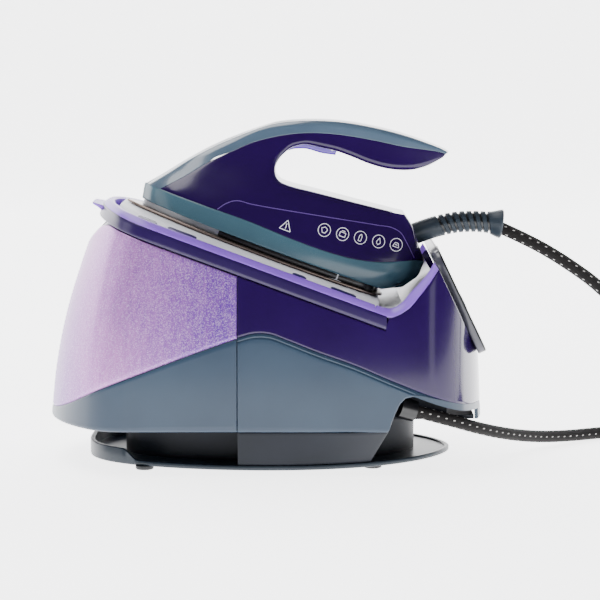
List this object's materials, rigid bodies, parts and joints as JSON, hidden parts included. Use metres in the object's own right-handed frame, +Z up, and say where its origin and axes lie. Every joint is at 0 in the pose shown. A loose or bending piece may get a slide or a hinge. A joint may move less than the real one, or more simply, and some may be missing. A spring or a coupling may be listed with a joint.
{
  "type": "steam generator iron",
  "caption": "Steam-generator iron: a nose-up iron with an arched handle resting on a sloping base with a removable water tank, joined by one steam hose.",
  "frame": {"origin": "middle of the base on the surface it stands on", "axes": "+Z up, -X towards the water tank and the iron's nose, +X towards the control panel and the heel"},
  "size_m": [0.7043, 0.2227, 0.2825],
  "materials": {
    "tank_lilac": "metallic lilac with a fine sparkle",
    "base_slate": "satin",
    "body_purple": "gloss",
    "charcoal": "satin",
    "rim_lilac": "satin",
    "mat_white": "matt",
    "pad_purple": "matt",
    "panel_grey": "satin",
    "fascia_black": "gloss",
    "button_grey": "satin",
    "lens_dark": "gloss",
    "rubber_black": "matt",
    "steel": "brushed",
    "sole_dark": "glazed",
    "cast_aluminium": "as cast",
    "brass": "plain",
    "inner_plastic": "matt",
    "board_green": "satin",
    "hose_textile": "black braid with small white dashes",
    "trigger_lilac": "satin"
  },
  "bodies": {
    "base": {"rear_housing": "body_purple", "lower_housing": "base_slate", "cord_bay_near": "base_slate", "cord_bay_far": "base_slate", "base_deck": "charcoal", "foot_tray": "base_slate", "rubber_feet": "rubber_black", "pedestal": "charcoal", "side_panel_near": "charcoal", "side_panel_far": "charcoal", "rest_frame": "rim_lilac", "rest_mat": "mat_white", "mat_pads": "pad_purple", "rim_riser": "rim_lilac", "control_panel": "panel_grey", "panel_fascia": "fascia_black", "display_lens": "lens_dark", "boiler_vessel": "steel", "boiler_stand": "steel", "boiler_heater": "brass", "pressure_thermostat": "brass", "water_pump": "inner_plastic", "steam_valve": "brass", "control_board": "board_green", "tank_socket": "rubber_black", "base_screws": "steel", "hose_coil": "hose_textile", "hose_lower": "hose_textile", "hose_gland": "rubber_black", "mains_gland": "rubber_black"},
    "iron": {"soleplate": "sole_dark", "sole_casting": "cast_aluminium", "steam_chamber_cover": "cast_aluminium", "heating_element": "steel", "heat_shield": "rubber_black", "skirt": "base_slate", "handle_cover": "base_slate", "body_shell": "body_purple", "rear_cover": "body_purple", "trigger_pin": "steel", "trigger_switch": "inner_plastic", "thermal_fuse": "inner_plastic", "steam_pipe": "brass", "iron_screws": "steel", "hose_boot": "base_slate", "hose_upper": "hose_textile"},
    "tank": {"tank_shell": "tank_lilac", "tank_base": "base_slate", "tank_filler_cap": "rubber_black", "tank_valve": "inner_plastic"},
    "trigger": {"trigger": "trigger_lilac"},
    "tank_release_button": {"tank_release_button": "pad_purple"},
    "carry_lock": {"carry_lock": "rim_lilac"},
    "power_button": {"power_button": "button_grey"},
    "steam_up_button": {"steam_up_button": "button_grey"},
    "steam_down_button": {"steam_down_button": "button_grey"},
    "eco_button": {"eco_button": "button_grey"},
    "descale_cap": {"descale_cap": "panel_grey"}
  },
  "joints": [
    {"name": "iron_lift", "type": "slide", "parent": "base", "child": "iron", "axis": [-0.5, 0, 0.866], "range_m": [0, 0.08]},
    {"name": "trigger_pull", "type": "hinge", "parent": "iron", "child": "trigger", "pos_m": [0.0554, 0, 0.2584], "axis": [0, 1, 0], "range_deg": [0, 4.5], "stiffness_Nm_per_rad": 0.15, "springref_deg": -8.59},
    {"name": "tank_pull", "type": "slide", "parent": "base", "child": "tank", "axis": [-1, 0, 0], "range_m": [0, 0.12]},
    {"name": "tank_release_press", "type": "slide", "parent": "base", "child": "tank_release_button", "axis": [1, 0, 0], "range_m": [0, 0.0015], "stiffness_N_per_m": 400, "springref_m": -0.002},
    {"name": "carry_lock_slide", "type": "slide", "parent": "base", "child": "carry_lock", "axis": [0.9397, 0, -0.342], "range_m": [0, 0.006]},
    {"name": "power_button_press", "type": "slide", "parent": "base", "child": "power_button", "axis": [-0.9021, 0, -0.4315], "range_m": [0, 0.001], "stiffness_N_per_m": 300, "springref_m": -0.001},
    {"name": "steam_up_button_press", "type": "slide", "parent": "base", "child": "steam_up_button", "axis": [-0.9021, 0, -0.4315], "range_m": [0, 0.001], "stiffness_N_per_m": 300, "springref_m": -0.001},
    {"name": "steam_down_button_press", "type": "slide", "parent": "base", "child": "steam_down_button", "axis": [-0.9021, 0, -0.4315], "range_m": [0, 0.001], "stiffness_N_per_m": 300, "springref_m": -0.001},
    {"name": "eco_button_press", "type": "slide", "parent": "base", "child": "eco_button", "axis": [-0.9021, 0, -0.4315], "range_m": [0, 0.001], "stiffness_N_per_m": 300, "springref_m": -0.001},
    {"name": "descale_cap_turn", "type": "hinge", "parent": "base", "child": "descale_cap", "pos_m": [0.14723, 0, 0.16747], "axis": [0.9021, 0, 0.4315], "range_deg": [0, 90]}
  ]
}
